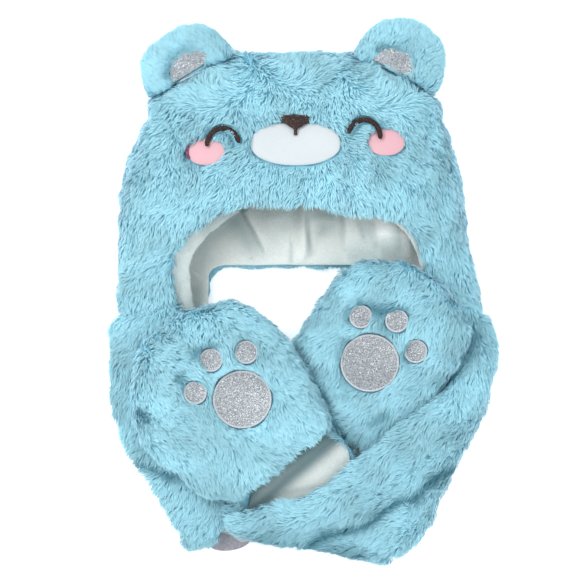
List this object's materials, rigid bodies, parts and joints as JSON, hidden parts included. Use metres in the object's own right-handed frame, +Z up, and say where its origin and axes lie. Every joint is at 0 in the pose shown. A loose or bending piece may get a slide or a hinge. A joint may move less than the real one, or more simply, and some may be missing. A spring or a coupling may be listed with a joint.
{
  "type": "animal hood scarf",
  "caption": "Plush animal hood with round ears and a sleepy face, whose long tails fold over each other and end in paw-shaped hand pockets.",
  "frame": {"origin": "middle of the underside of the part's box, on the surface that the hood lies on", "axes": "+X to the right and +Y towards the crown as the face is seen from above, +Z up from the surface"},
  "size_m": [0.325, 0.457, 0.0754],
  "materials": {
    "plush": "short light aqua plush pile",
    "fleece": "off-white fleece",
    "pink_fleece": "pink fleece",
    "brown_stitching": "brown satin stitching",
    "silver_glitter": "silver glitter cloth"
  },
  "bodies": {
    "root": {"hood_fur": "plush", "left_ear": "plush", "right_ear": "plush", "left_paw": "plush", "right_paw": "plush", "left_tail_fur": "plush", "right_tail_fur": "plush", "hood_lining": "fleece", "left_tail_lining": "fleece", "right_tail_lining": "fleece", "muzzle": "fleece", "left_cheek": "pink_fleece", "right_cheek": "pink_fleece", "left_eye": "brown_stitching", "right_eye": "brown_stitching", "nose": "brown_stitching", "left_ear_patch": "silver_glitter", "right_ear_patch": "silver_glitter", "left_main_pad": "silver_glitter", "left_toe_pad_1": "silver_glitter", "left_toe_pad_2": "silver_glitter", "left_toe_pad_3": "silver_glitter", "right_main_pad": "silver_glitter", "right_toe_pad_1": "silver_glitter", "right_toe_pad_2": "silver_glitter", "right_toe_pad_3": "silver_glitter"}
  },
  "joints": []
}
